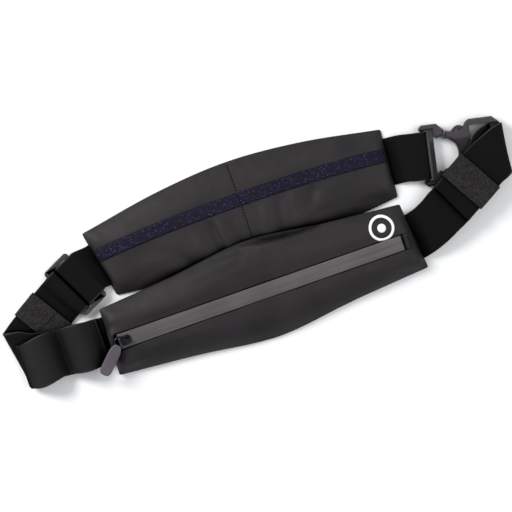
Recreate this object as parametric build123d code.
from build123d import *
import os
from dataclasses import dataclass
from math import asin, atan, cos, degrees, pi, radians, sin

# A running belt lying flat, buckled into a closed loop. Two soft pouches, webbing between them,
# a side-release buckle at the right and a tri-glide at the left. Millimetres, +Z up, +X along the
# pouches towards the buckle, +Y from the front pouch to the rear one, origin under the middle.

# webbing, fabric and fits
WEBBING_WIDTH = 40.0
WEBBING = 1.4  # thickness
FABRIC = 1.2  # a pouch panel: face cloth, foam and lining
ELASTIC = 1.0  # keeper wall
FIT = 0.3  # clearance between pieces that slide or lie on each other
SEWN = 1.5  # webbing leaves a pouch square to its edge for this far
SEAM_GAP = 0.05
LAYER = WEBBING + FIT


@dataclass
class Pouch:
    """A flat pouch with a long taper to each end. Heights are measured from its centre line."""

    centre: tuple
    length: float
    end_height: float
    top: float
    bottom: float
    top_quarter: float
    bottom_quarter: float
    left_slant: float
    right_slant: float
    thick: float
    shoulder: float  # how far the flat top stands in from the long edges
    end_shoulder: float  # and from the ends
    left_web: float  # how far above the centre line the webbing's middle is sewn
    right_web: float


POUCH_LENGTH = 268.4
END_HEIGHT = 58.0
SHOULDER = 12.0
END_SHOULDER = 4.0
FRONT = Pouch(
    centre=(-4.6, -27.0), length=POUCH_LENGTH, end_height=END_HEIGHT, top=43.0, bottom=42.4,
    top_quarter=35.0, bottom_quarter=35.0, left_slant=1.2, right_slant=-3.0, thick=12.0,
    shoulder=SHOULDER, end_shoulder=END_SHOULDER, left_web=2.2, right_web=-0.6,
)
REAR = Pouch(
    centre=(2.4, 36.4), length=POUCH_LENGTH - 12.4, end_height=END_HEIGHT, top=46.0, bottom=45.0,
    top_quarter=41.0, bottom_quarter=36.0, left_slant=-5.5, right_slant=2.3, thick=9.0,
    shoulder=SHOULDER, end_shoulder=END_SHOULDER, left_web=-1.6, right_web=1.0,
)
LEFT_END = FRONT.centre[0] - FRONT.length / 2
RIGHT_END = FRONT.centre[0] + FRONT.length / 2

# the slots that webbing goes through
SLOT_PLAY = 1.0  # spare length at each end
SLOT_HALF = WEBBING_WIDTH / 2 + SLOT_PLAY

# the zip on the front pouch
ZIP_Y = -0.8
ZIP_START = 8.6 - FRONT.length / 2
ZIP_END = FRONT.length / 2 - 11.6
ZIP_WIDTH = 12.6
TAPE = 1.0
TAPE_GAP = 0.9
COIL_WIDTH = 2.2
COIL = 1.8
STOP_LENGTH = 2.0
STOP = 0.8
SLIDER_LENGTH = 9.0
SLIDER_WIDTH = 8.0
SLIDER_PLATE = 1.1
SLIDER_WEB = 0.4
BRIDGE_HOLE = 4.2
BRIDGE_RISE = 2.8
BRIDGE_WIDTH = 2.2
BRIDGE = 1.1
RING_RADIUS = 4.3
RING_WIRE = 0.7
TAB_LENGTH = 30.4  # from the ring's centre to the tip
TAB_WIDTH = 10.0
TAB_SHOULDER = 4.5  # length over which the neck widens
TAB_NECK = 7.0
TAB = 2.4
TAB_HEADING = -135.0
PATCH = (6.0, 13.0, 0.8)
BADGE_PLACE = (FRONT.length / 2 - 24.2, 16.4)
BADGE_RADIUS = 10.6
BADGE_RING = 2.2
BADGE_DOT = 3.6
PRINT = 0.3

# the rear pouch's trim
GRIP_WIDTH = 11.0
GRIP = 0.8
GRIP_Y = 7.0
GRIP_RISE = 5.0
DIVIDER = 0.8
STITCH = (0.5, 2.4, 0.3)
STITCH_PITCH = 3.6

# left side: gel loops, keeper and tri-glide
LOOP_PITCH = 33.5
LOOP_RISE = 9.5
LOOP_START = 4.5  # from the pouch's end to the first seam
SEAM_HALF = 1.2
LOOP_SHIFT = 8.0
FOLD_SHIFT = 9.0
LEFT_FOLD = (LEFT_END - 77.4, -12.6)
FOLD_ANGLE = 100.0
LEFT_KEEPER = (LEFT_END - 45.6, 8.3)
LEFT_KEEPER_HEADING = 31.8
KEEPER_LENGTH = 24.0
KEEPER_SIDE = 0.6
GLIDE = (LEFT_END - 10.8, 27.4)
GLIDE_HEADING = 26.0
GLIDE_LENGTH = 26.0
GLIDE_THICK = 2.5
GLIDE_RAIL = 4.0
GLIDE_BAR = 4.0
GLIDE_SLOT = 6.0

# right side: keeper and buckle
RIGHT_KEEPER = (RIGHT_END + 58.8, -0.5)
RIGHT_KEEPER_HEADING = 29.7
TAIL_BEHIND = 25.0  # from the keeper's middle to the tail's cut end
BUCKLE = (RIGHT_END + 27.5, 32.6)
BUCKLE_HEADING = -12.0
BUCKLE_THICK = 10.0
BUCKLE_BEVEL = 1.6
MALE_THICK = 7.0
BAR_THICK = 4.0
OUTER_BAR = (1.0, 4.5)
INNER_BAR = (8.0, 11.5)
LATCH_THICK = 5.4
LATCH_PIVOT = (15.5, SLOT_HALF - 3.5)
BUCKLE_HALF = SLOT_HALF + 5.0  # side rails outside the slot
MALE_HALF = SLOT_HALF + 4.5
MOUTH_HALF = SLOT_HALF - 4.2
MOUTH_CORNER = SLOT_HALF - 8.0
LATCH_ROOT = 2.6
CAVITY = 6.0
MOUTH = 22.0
MOUTH_WALL = 25.0
ARCH = 31.0
CORE_HALF = 8.0
CAVITY_END = 41.0
END_SLOT = (42.0, 59.5)
BUCKLE_END = 67.5
END_BAR = 4.8
END_BAR_Z = 2.5

# the front pouch leans on the rear one's lower edge, about its own lower edge
REST_GAP = 0.5
lean_reach = REAR.centre[1] - REAR.bottom + REAR.shoulder - (FRONT.centre[1] - FRONT.bottom)
LEAN = degrees(asin((REAR.thick + REST_GAP) / lean_reach))
front_place = (
    Pos(FRONT.centre[0], FRONT.centre[1] - FRONT.bottom, 0) * Rot(LEAN, 0, 0) * Pos(0, FRONT.bottom, 0)
)
rear_place = Pos(*REAR.centre, 0)
glide_place = Pos(*GLIDE, 0) * Rot(0, 0, GLIDE_HEADING)
buckle_place = Pos(*BUCKLE, 0) * Rot(0, 0, BUCKLE_HEADING)
left_keeper_place = Pos(*LEFT_KEEPER, 0) * Rot(0, 0, LEFT_KEEPER_HEADING)
right_keeper_place = Pos(*RIGHT_KEEPER, 0) * Rot(0, 0, RIGHT_KEEPER_HEADING)


def at(place, along, across=0.0, up=0.0):
    """A point given in a piece's own frame, in the belt's frame."""
    return (place * Pos(along, across, up)).position


def bar(low, high):
    """A box between two corners."""
    size = [b - a for a, b in zip(low, high)]
    return Pos(*low) * Box(*size, align=(Align.MIN, Align.MIN, Align.MIN))


def ribbon(stations, thick=WEBBING):
    """Flat webbing through stations (point, angle of its width, width, roll): a ruled loft."""
    points = [Vector(s[0]) for s in stations]
    sections = []
    for i, (point, angle, width, roll) in enumerate(stations):
        across = Vector(1, 0, 0).rotate(Axis.Y, -roll).rotate(Axis.Z, angle)
        along = points[min(i + 1, len(points) - 1)] - points[max(i - 1, 0)]
        along = along - across * along.dot(across)
        sections.append(Plane(origin=point, x_dir=across, z_dir=along) * Rectangle(width, thick))
    return loft(sections, ruled=True)


def outline(pouch, inset=0.0, end_inset=0.0):
    """The pouch's edge in its own frame, or a line that stands in from it."""
    half, end = pouch.length / 2 - end_inset, pouch.end_height / 2 - inset
    left_top, left_low = (-half + pouch.left_slant, end), (-half - pouch.left_slant, -end)
    right_top, right_low = (half + pouch.right_slant, end), (half - pouch.right_slant, -end)
    quarter = half / 2
    top = Spline(
        left_top, (-quarter, pouch.top_quarter - inset), (0, pouch.top - inset),
        (quarter, pouch.top_quarter - inset), right_top,
    )
    low = Spline(
        left_low, (-quarter, inset - pouch.bottom_quarter), (0, inset - pouch.bottom),
        (quarter, inset - pouch.bottom_quarter), right_low,
    )
    return make_face([top, Line(right_top, right_low), low, Line(left_low, left_top)])


def base_panel(pouch):
    return extrude(outline(pouch), FABRIC)


def crowned_panel(pouch):
    """The upper half of a pouch: a flat top on sloping shoulders, hollow underneath."""
    skin = loft(
        [
            Pos(0, 0, FABRIC) * outline(pouch),
            Pos(0, 0, pouch.thick) * outline(pouch, pouch.shoulder, pouch.end_shoulder),
        ],
        ruled=True,
    )
    wall = 2 * FABRIC
    hollow = loft(
        [
            Pos(0, 0, FABRIC) * outline(pouch, wall, wall),
            Pos(0, 0, pouch.thick - FABRIC)
            * outline(pouch, pouch.shoulder + FABRIC, pouch.end_shoulder + FABRIC),
        ],
        ruled=True,
    )
    return skin - hollow


# ---------------------------------------------------------------- front pouch
def front_panels():
    window = bar(
        (ZIP_START, ZIP_Y - ZIP_WIDTH / 2, FRONT.thick - 2 * FABRIC),
        (ZIP_END, ZIP_Y + ZIP_WIDTH / 2, FRONT.thick + 1),
    )
    return {
        "front_back_panel": base_panel(FRONT),
        "front_face_panel": crowned_panel(FRONT) - window,
    }


tape_top = FRONT.thick - 0.1
tape_low = tape_top - TAPE
coil_low = tape_low - COIL
slider_x = ZIP_START + STOP_LENGTH + FIT + SLIDER_LENGTH / 2 - 1.0
slider_top = FRONT.thick + FIT + SLIDER_PLATE
zip_travel = ZIP_END - STOP_LENGTH - FIT - SLIDER_LENGTH / 2 - slider_x
ring_z = slider_top + BRIDGE_RISE / 2
ring_x = slider_x - BRIDGE_HOLE / 2 + RING_WIRE + 0.4 - RING_RADIUS


def zip_pieces():
    made = {}
    gap, edge = TAPE_GAP / 2, ZIP_WIDTH / 2
    for name, side in (("upper", 1), ("lower", -1)):
        low, high = sorted((ZIP_Y + side * gap, ZIP_Y + side * edge))
        made["zip_tape_" + name] = bar((ZIP_START, low, tape_low), (ZIP_END, high, tape_top))
        low, high = sorted((ZIP_Y + side * gap, ZIP_Y + side * (gap + COIL_WIDTH)))
        made["zip_coil_" + name] = bar((ZIP_START, low, coil_low), (ZIP_END, high, tape_low))
    stop = 2 * (gap + COIL_WIDTH)
    half_stop = (STOP_LENGTH - 1.0) / 2
    made["zip_end_stops"] = Compound(
        [
            Pos(x, ZIP_Y, coil_low - STOP / 2) * Box(2 * half_stop, stop, STOP)
            for x in (ZIP_START + half_stop, ZIP_END - STOP_LENGTH / 2)
        ]
    )
    made["zip_end_patch"] = Pos(ZIP_END + PATCH[0] / 2 + 0.2, ZIP_Y, FRONT.thick) * extrude(
        RectangleRounded(PATCH[0], PATCH[1], 1.0), PATCH[2]
    )
    return made


def slider():
    """Two plates joined by a web that runs in the gap between the tapes, and a bridge on top."""
    half, side = SLIDER_LENGTH / 2, SLIDER_WIDTH / 2
    plate_low = coil_low - FIT - SLIDER_PLATE
    plan = RectangleRounded(SLIDER_LENGTH, SLIDER_WIDTH, 2.4)
    body = Pos(0, 0, FRONT.thick + FIT) * extrude(plan, SLIDER_PLATE)
    body += Pos(0, 0, plate_low) * extrude(plan, SLIDER_PLATE)
    body += bar((0, -SLIDER_WEB / 2, plate_low), (half - 0.5, SLIDER_WEB / 2, slider_top))
    reach = BRIDGE_HOLE / 2 + BRIDGE
    under = slider_top + BRIDGE_RISE
    arch = bar((-reach, -BRIDGE_WIDTH / 2, slider_top), (reach, BRIDGE_WIDTH / 2, under + BRIDGE))
    arch -= bar((-BRIDGE_HOLE / 2, -side, slider_top), (BRIDGE_HOLE / 2, side, under))
    return Pos(slider_x, ZIP_Y, 0) * (body + arch)


def pull_pieces():
    """A wire ring in the slider's bridge, and a rubber tab that turns round the ring."""
    ring = Pos(ring_x, ZIP_Y, ring_z) * Torus(RING_RADIUS, RING_WIRE)
    inner, neck_end = RING_RADIUS - 1.6, RING_RADIUS + 1.2
    wide_from, neck, wide = neck_end + TAB_SHOULDER, TAB_NECK / 2, TAB_WIDTH / 2
    plan = make_face(
        Polyline(
            (inner, -neck), (neck_end, -neck), (wide_from, -wide), (TAB_LENGTH, -wide),
            (TAB_LENGTH, wide), (wide_from, wide), (neck_end, neck), (inner, neck), close=True,
        )
    )
    tip = plan.vertices().sort_by(Axis.X)[-2:]
    tab = Pos(0, 0, -TAB / 2) * extrude(fillet(tip, TAB_WIDTH / 2 - 0.6), TAB)
    tab -= Torus(RING_RADIUS, RING_WIRE + FIT)
    return {"pull_link": ring, "pull_tab": Pos(ring_x, ZIP_Y, ring_z) * Rot(0, 0, TAB_HEADING) * tab}


def badge():
    """A printed roundel: a plain ring with a dot in it."""
    ring = Circle(BADGE_RADIUS) - Circle(BADGE_RADIUS - BADGE_RING)
    shapes = [extrude(plan, PRINT) for plan in (ring, Circle(BADGE_DOT))]
    return Pos(*BADGE_PLACE, FRONT.thick) * Compound(shapes)


# ---------------------------------------------------------------- rear pouch
def rear_pieces():
    made = {"rear_outer_panel": base_panel(REAR), "rear_inner_panel": crowned_panel(REAR)}
    reach = REAR.length / 2 - REAR.end_shoulder - abs(REAR.left_slant) - 1.0
    strips = [
        Spline((-reach, GRIP_Y + s), (-reach / 2, GRIP_Y + GRIP_RISE * 0.8 + s), (0, GRIP_Y + GRIP_RISE + s),
               (reach / 2, GRIP_Y + GRIP_RISE * 0.8 + s), (reach, GRIP_Y + s))
        for s in (-GRIP_WIDTH / 2, GRIP_WIDTH / 2)
    ]
    ends = [Line(strips[0] @ k, strips[1] @ k) for k in (0, 1)]
    made["grip_strip"] = Pos(0, 0, REAR.thick) * extrude(make_face([*strips, *ends]), GRIP)
    room = REAR.top - REAR.shoulder - 4 * FABRIC
    depth = REAR.bottom - REAR.shoulder - 4 * FABRIC
    made["rear_divider"] = bar((-DIVIDER / 2, -depth, FABRIC), (DIVIDER / 2, room, REAR.thick - FABRIC))
    grip_mid = GRIP_Y + GRIP_RISE
    low, high = -REAR.bottom + REAR.shoulder + 18.0, REAR.top - REAR.shoulder - 2.0
    places = [low + STITCH_PITCH * n for n in range(int((high - low) / STITCH_PITCH) + 1)]
    clear = GRIP_WIDTH / 2 + STITCH[1]
    made["divider_stitching"] = Compound(
        [Pos(0, y, REAR.thick + STITCH[2] / 2) * Box(*STITCH) for y in places if abs(y - grip_mid) > clear]
    )
    return made


# ---------------------------------------------------------------- left side
keeper_low = ELASTIC + FIT + WEBBING / 2  # height of the webbing's middle inside the left keeper
front_layer = ELASTIC * 2 + FIT * 3 + WEBBING * 1.5 + 0.3  # and of the strap that lies over that keeper
glide_z = 0.2 + 2 * LAYER  # underside of the tri-glide
over_glide = glide_z + GLIDE_THICK + FIT + WEBBING / 2
under_glide = glide_z - FIT - WEBBING / 2
tail_z = under_glide - LAYER
slot_width = 2 * SLOT_HALF
glide_width = slot_width + 2 * GLIDE_RAIL


def flat(point, angle, width=WEBBING_WIDTH, roll=0.0):
    return (tuple(point), angle, width, roll)


def pouch_end(pouch, place, side):
    """Two stations where webbing is sewn to the end of a pouch: on its edge, and just outside."""
    slant, rise = (pouch.right_slant, pouch.right_web) if side > 0 else (pouch.left_slant, pouch.left_web)
    lean = LEAN if pouch is FRONT else 0.0
    half_end = pouch.end_height / 2
    turn = atan(slant / half_end)
    edge = side * (pouch.length / 2 + SEAM_GAP) + slant * rise / half_end
    outside = (edge + side * SEWN * cos(turn), rise - side * SEWN * sin(turn))
    return [
        flat(at(place, x, y, WEBBING / 2), 90.0 - degrees(turn), WEBBING_WIDTH, lean)
        for x, y in ((edge, rise), outside)
    ]


(end_x, end_y, end_z), *_ = pouch_end(FRONT, front_place, -1)[1]
LOOP_RUN = 2 * LOOP_PITCH + LOOP_START


def front_run(run):
    """Height and roll of the left webbing so far from the front pouch, and where its middle lies."""
    share = min(run / LOOP_RUN, 1.0)
    y = end_y + 0.5 + FOLD_SHIFT * share**2.2
    return end_x - run, y, end_z + (front_layer - end_z) * share, LEAN * (1 - share) ** 5


def carried(run, above, angle, shift=0.0):
    """A station on the left webbing, or so far above it and to the side."""
    x, y, z, roll = front_run(run)
    return flat((x, y + shift, z + above), angle, WEBBING_WIDTH, roll)


def left_long_strap():
    """From the front pouch under the gel loops, round a skew fold, and back to the tri-glide."""
    z = front_layer
    fold_x, fold_y = LEFT_FOLD
    cross = GLIDE_HEADING + 90
    keeper_cross = LEFT_KEEPER_HEADING + 90
    skew = WEBBING_WIDTH / cos(radians(FOLD_ANGLE - 77))
    half_bar, slot = GLIDE_BAR / 2, GLIDE_SLOT
    inside = half_bar + slot / 2 + 0.6
    return ribbon(
        [
            *pouch_end(FRONT, front_place, -1),
            *[carried(run, 0.0, angle) for run, angle in ((6, 90), (22, 89), (44, 85), (60, 82))],
            flat((fold_x + 7.5, fold_y - 2.0, z), 82, WEBBING_WIDTH + 0.5),
            flat((fold_x + 2.4, fold_y - 0.8, z - 0.1), 93, skew - 1.5),
            flat((fold_x, fold_y, (z + keeper_low) / 2), FOLD_ANGLE, skew),
            flat((fold_x + 2.4, fold_y + 1.3, keeper_low + 0.1), 107, skew - 1.5),
            flat((fold_x + 8.0, fold_y + 5.2, keeper_low), 118, WEBBING_WIDTH + 0.5),
            flat(at(left_keeper_place, -16, 0, keeper_low), keeper_cross),
            flat(at(left_keeper_place, 16, 0, keeper_low), keeper_cross),
            flat(at(glide_place, -GLIDE_LENGTH / 2 - 3.0, 0, over_glide - 1.2), cross + 3),
            flat(at(glide_place, -GLIDE_LENGTH / 2, 0, over_glide + 0.1), cross),
            flat(at(glide_place, -half_bar - slot, 0, over_glide), cross),
            flat(at(glide_place, -inside - 0.6, 0, over_glide - 0.9), cross),
            flat(at(glide_place, -inside, 0, glide_z + GLIDE_THICK / 2), cross),
            flat(at(glide_place, -inside, 0, under_glide + 0.2), cross),
            flat(at(glide_place, -inside + 1.2, 0, tail_z + 0.2), cross),
            flat(at(glide_place, -inside + 3.0, 0, tail_z), cross),
            flat(at(glide_place, GLIDE_LENGTH / 2 - 1, 0, tail_z), cross),
        ]
    )


def left_short_strap():
    """From the rear pouch over the tri-glide, sewn round its middle bar."""
    cross = GLIDE_HEADING + 90
    turn = GLIDE_BAR / 2 + FIT + WEBBING / 2
    middle = glide_z + GLIDE_THICK / 2
    return ribbon(
        [
            *pouch_end(REAR, rear_place, -1),
            flat(at(glide_place, GLIDE_LENGTH / 2 + 4.0, 0, over_glide - 1.6), cross - 6),
            flat(at(glide_place, GLIDE_LENGTH / 2, 0, over_glide + 0.1), cross),
            flat(at(glide_place, 1 - GLIDE_BAR / 2, 0, over_glide), cross),
            flat(at(glide_place, -turn + 0.5, 0, over_glide - 0.4), cross),
            flat(at(glide_place, -turn, 0, over_glide - 1.0), cross),
            flat(at(glide_place, -turn, 0, middle), cross),
            flat(at(glide_place, -turn, 0, under_glide + 1.0), cross),
            flat(at(glide_place, -turn + 0.5, 0, under_glide + 0.4), cross),
            flat(at(glide_place, 1 - GLIDE_BAR / 2, 0, under_glide), cross),
            flat(at(glide_place, GLIDE_LENGTH / 2 - 1.5, 0, under_glide), cross),
        ]
    )


def tri_glide():
    plate = extrude(RectangleRounded(GLIDE_LENGTH, glide_width, 3.0), GLIDE_THICK)
    for side in (-1, 1):
        middle = side * (GLIDE_BAR + GLIDE_SLOT) / 2
        plate -= Pos(middle, 0, 0) * extrude(Rectangle(GLIDE_SLOT, slot_width), GLIDE_THICK)
    return glide_place * Pos(0, 0, glide_z) * plate


def keeper(layers):
    """An elastic band round so many layers of webbing, its inside starting at height zero."""
    wide = WEBBING_WIDTH + 2 * KEEPER_SIDE
    high = layers * WEBBING + (layers + 1) * FIT
    outer = bar((-KEEPER_LENGTH / 2, -wide / 2 - ELASTIC, -ELASTIC),
                (KEEPER_LENGTH / 2, wide / 2 + ELASTIC, high + ELASTIC))
    return outer - bar((-KEEPER_LENGTH, -wide / 2, 0), (KEEPER_LENGTH, wide / 2, high))


LOOP_STEPS = 8
loop_lift = WEBBING + 0.15  # middle of the upper webbing above the middle of the lower one
seams = [LOOP_START + LOOP_PITCH * n for n in range(3)]


def loop_shift(run):
    """How far the upper webbing lies from the lower one, which curves away from it."""
    return -LOOP_SHIFT * max(0.0, (run - seams[1]) / LOOP_PITCH)


def gel_loops():
    """A second strap sewn on at three seams, so that it stands up in two loops."""
    stations = [carried(LOOP_START - 2.5, loop_lift, 91)]
    for n in range(2):
        for step in range(LOOP_STEPS + 1):
            share = step / LOOP_STEPS
            run = seams[n] + SEAM_HALF + (LOOP_PITCH - 2 * SEAM_HALF) * share
            rise = loop_lift + LOOP_RISE * sin(pi * share) ** 0.75
            stations.append(carried(run, rise, 90, loop_shift(run)))
    stations.append(carried(seams[2] + 1.5, loop_lift, 90, loop_shift(seams[2])))
    return ribbon(stations)


def loop_stitching():
    """A row of stitches across each seam of the gel loops."""
    stitches = []
    count = int((WEBBING_WIDTH - 6) / STITCH_PITCH)
    for run in seams:
        x, y, z, roll = front_run(run)
        seam = Pos(x, y + loop_shift(run), z + loop_lift) * Rot(roll, 0, 0)
        for n in range(count + 1):
            place = Pos(0, (n - count / 2) * STITCH_PITCH, WEBBING / 2 + STITCH[2] / 2 + 0.1)
            stitches.append(seam * place * Box(*STITCH))
    return Compound(stitches)


# ---------------------------------------------------------------- right side
middle_z = BUCKLE_THICK / 2
main_z = BUCKLE_THICK + FIT + ELASTIC + FIT + WEBBING / 2
tail_over = main_z + LAYER
bar_low, bar_high = END_BAR_Z, END_BAR_Z + END_BAR


def right_long_strap():
    """From the front pouch over the buckle, down its slot, round its end bar and back on top."""
    start = pouch_end(FRONT, front_place, 1)
    (x, y, z), *_ = start[1]
    cross = RIGHT_KEEPER_HEADING + 90
    square = BUCKLE_HEADING + 90
    slot_x = END_SLOT[1] - FIT - WEBBING / 2 - 0.3
    under, over = bar_low - FIT - WEBBING / 2 - 0.1, bar_high + FIT + WEBBING / 2
    outside = BUCKLE_END + FIT + WEBBING / 2 + 0.3
    return ribbon(
        [
            *start,
            flat((x + 8.0, y + 2.0, z + 2.2), 97, WEBBING_WIDTH, LEAN * 0.6),
            flat((x + 18.0, y + 6.0, main_z - 2.4), 103),
            flat((x + 27.0, y + 10.8, main_z - 0.3), 111),
            flat(at(right_keeper_place, -22, 0, main_z), cross),
            flat(at(right_keeper_place, 15, 0, main_z), cross),
            flat(at(buckle_place, slot_x - 6.5, -5.5, main_z - 0.2), square + 17),
            flat(at(buckle_place, slot_x - 2.4, -0.9, main_z - 0.9), square + 3),
            flat(at(buckle_place, slot_x - 0.4, 0, main_z - 3.4), square),
            flat(at(buckle_place, slot_x, 0, middle_z + 1.5), square),
            flat(at(buckle_place, slot_x, 0, under + 1.8), square),
            flat(at(buckle_place, slot_x + 0.9, 0, under + 0.3), square),
            flat(at(buckle_place, slot_x + 3.0, 0, under), square),
            flat(at(buckle_place, outside - 1.2, 0, under), square),
            flat(at(buckle_place, outside - 0.1, 0, under + 1.1), square),
            flat(at(buckle_place, outside + 0.6, 0, middle_z), square + 1),
            flat(at(buckle_place, outside + 1.0, -0.5, over + 1.4), square + 4),
            flat(at(buckle_place, outside + 0.2, -1.5, over + 3.6), square + 9, WEBBING_WIDTH + 1),
            flat(at(buckle_place, outside - 3.0, -3.5, tail_over - 0.1), square + 16, WEBBING_WIDTH + 2),
            flat(at(buckle_place, outside - 10.0, -8.5, tail_over + 0.2), square + 26, WEBBING_WIDTH + 1),
            flat(at(right_keeper_place, 15, 0, tail_over), cross),
            flat(at(right_keeper_place, -TAIL_BEHIND, 0, tail_over), cross - 4),
        ]
    )


def right_short_strap():
    """From the rear pouch over the male half's outer bar and sewn back underneath."""
    square = BUCKLE_HEADING + 90
    top = middle_z + BAR_THICK / 2 + FIT + WEBBING / 2
    low = middle_z - BAR_THICK / 2 - FIT - WEBBING / 2
    turn = OUTER_BAR[1] + FIT + WEBBING / 2
    return ribbon(
        [
            *pouch_end(REAR, rear_place, 1),
            flat(at(buckle_place, -16.0, 0.3, top - 3.2), square + 6),
            flat(at(buckle_place, -6.0, 0, top - 0.4), square + 2),
            flat(at(buckle_place, OUTER_BAR[0], 0, top + 0.1), square),
            flat(at(buckle_place, OUTER_BAR[1] - 0.6, 0, top), square),
            flat(at(buckle_place, turn - 0.3, 0, top - 0.7), square),
            flat(at(buckle_place, turn, 0, middle_z), square),
            flat(at(buckle_place, turn - 0.3, 0, low + 0.7), square),
            flat(at(buckle_place, OUTER_BAR[1] - 0.6, 0, low), square),
            flat(at(buckle_place, -9.0, 0, low), square),
        ]
    )


def mirrored(shape):
    return shape + mirror(shape, about=Plane.XZ)


def buckle_male():
    """Two cross bars between side arms, with a round seat at each arm's end for a latch arm."""
    corner, inner_end = 2.5, INNER_BAR[1]
    arm = make_face(
        Polyline(
            (0, SLOT_HALF), (0, MALE_HALF - corner), (corner, MALE_HALF), (15, MALE_HALF),
            (21, MALE_HALF - 6), (20.5, LATCH_PIVOT[1] - 2), (14, LATCH_PIVOT[1] - 4),
            (inner_end, LATCH_PIVOT[1] - 1), (inner_end, SLOT_HALF), close=True,
        )
    )
    arm = Pos(0, 0, middle_z - MALE_THICK / 2) * extrude(arm, MALE_THICK)
    arm = chamfer(arm.faces().sort_by(Axis.Z)[-1].outer_wire().edges(), 1.2)
    frame = mirrored(arm)
    reach, half_bar = SLOT_HALF + 1, BAR_THICK / 2
    for start, end in (OUTER_BAR, INNER_BAR):
        frame += bar((start, -reach, middle_z - half_bar), (end, reach, middle_z + half_bar))
    high = LATCH_THICK + 2 * FIT
    pocket = bar((LATCH_PIVOT[0], 0, middle_z - high / 2), (30, LATCH_PIVOT[1], middle_z + high / 2))
    pocket += Pos(*LATCH_PIVOT, middle_z) * Cylinder(LATCH_ROOT + FIT, high)
    return buckle_place * (frame - pocket - mirror(pocket, about=Plane.XZ))


def latch_arm(side):
    """A sprung arm that bows out through the female half's side and is squeezed in to release."""
    x, y = LATCH_PIVOT
    outside = ((2.5, -0.9), (7, -2.3), (11.5, 0.9), (16.5, 4.5), (21.5, 3.1), (24.1, -2))
    inside = ((2.5, -4.1), (7, -5.3), (12, -3.1), (16.5, 0.7), (19.9, -0.3), (21.9, -3.9))
    outer, inner = (Spline(*[(x + a, y + b) for a, b in line]) for line in (outside, inside))
    blade = make_face([outer, Line(outer @ 1, inner @ 1), inner, Line(inner @ 0, outer @ 0)])
    arm = Pos(0, 0, middle_z - LATCH_THICK / 2) * extrude(blade, LATCH_THICK)
    root = ((0, -2.2), (2.7, -4.15), (2.7, -0.85), (0, 1.5))
    neck = make_face(Polyline(*[(x + a, y + b) for a, b in root], close=True))
    arm += Pos(0, 0, middle_z - LATCH_THICK / 2) * extrude(neck, LATCH_THICK)
    arm += Pos(*LATCH_PIVOT, middle_z) * Cylinder(LATCH_ROOT, LATCH_THICK)
    return buckle_place * (arm if side > 0 else mirror(arm, about=Plane.XZ))


def buckle_female():
    """A flat sleeve with an arched mouth, hollow sides for the latch arms and an end bar."""
    corner, slot = 5.5, END_SLOT[0]
    half = Polyline(
        (MOUTH, MOUTH_CORNER), (MOUTH, SLOT_HALF - 2.4), (MOUTH + 9, SLOT_HALF - 4.4),
        (slot - 5.5, SLOT_HALF - 1.6), (slot - 2.5, BUCKLE_HALF - 2), (slot, BUCKLE_HALF),
        (BUCKLE_END - 6, BUCKLE_HALF), (BUCKLE_END, BUCKLE_HALF - corner),
    )
    lower = mirror(half, about=Plane.XZ)
    mouth = ThreePointArc((MOUTH, -MOUTH_CORNER), (ARCH, 0), (MOUTH, MOUTH_CORNER))
    end = Line((BUCKLE_END, BUCKLE_HALF - corner), (BUCKLE_END, corner - BUCKLE_HALF))
    plan = make_face([*half.edges(), *lower.edges(), mouth, end])
    body = extrude(plan, BUCKLE_THICK)
    rims = [body.faces().sort_by(Axis.Z)[k].outer_wire().edges() for k in (0, -1)]
    body = chamfer([edge for rim in rims for edge in rim], BUCKLE_BEVEL)
    body -= bar((END_SLOT[0], -SLOT_HALF, -1), (END_SLOT[1], SLOT_HALF, BUCKLE_THICK + 1))
    for low, high in ((-1, bar_low), (bar_high, BUCKLE_THICK + 1)):
        body -= bar((END_SLOT[1] - 1, -SLOT_HALF, low), (BUCKLE_END + 1, SLOT_HALF, high))
    low, high = middle_z - CAVITY / 2, middle_z + CAVITY / 2
    cavity = bar((MOUTH_WALL, CORE_HALF, low), (CAVITY_END, BUCKLE_HALF + 5, high))
    cavity += bar((MOUTH - 1, CORE_HALF, low), (MOUTH_WALL + 1, MOUTH_HALF, high))
    return buckle_place * (body - cavity - mirror(cavity, about=Plane.XZ))


def build():
    """Every sub-part by name, in the belt's frame before its origin is set."""
    front = {**front_panels(), **zip_pieces(), "zip_slider": slider(), **pull_pieces(), "roundel": badge()}
    parts = {name: front_place * shape for name, shape in front.items()}
    parts |= {name: rear_place * shape for name, shape in rear_pieces().items()}
    parts["left_long_strap"] = left_long_strap()
    parts["left_short_strap"] = left_short_strap()
    parts["gel_loops"] = gel_loops()
    parts["loop_stitching"] = loop_stitching()
    parts["left_keeper"] = left_keeper_place * Pos(0, 0, ELASTIC) * keeper(1)
    parts["tri_glide"] = tri_glide()
    parts["right_long_strap"] = right_long_strap()
    parts["right_short_strap"] = right_short_strap()
    parts["right_keeper"] = right_keeper_place * Pos(0, 0, main_z - WEBBING / 2 - FIT) * keeper(2)
    parts["buckle_male"] = buckle_male()
    parts["latch_arm_upper"] = latch_arm(1)
    parts["latch_arm_lower"] = latch_arm(-1)
    parts["buckle_female"] = buckle_female()
    return parts


parts = build()
box = Compound([solid for shape in parts.values() for solid in shape.solids()]).bounding_box()
origin = Vector((box.min.X + box.max.X) / 2, (box.min.Y + box.max.Y) / 2, box.min.Z)
os.makedirs("parts", exist_ok=True)
for name, shape in parts.items():
    export_step(Pos(*(-origin)) * shape, f"parts/{name}.step")
print("size", box.size, "origin", origin, "lean", LEAN)
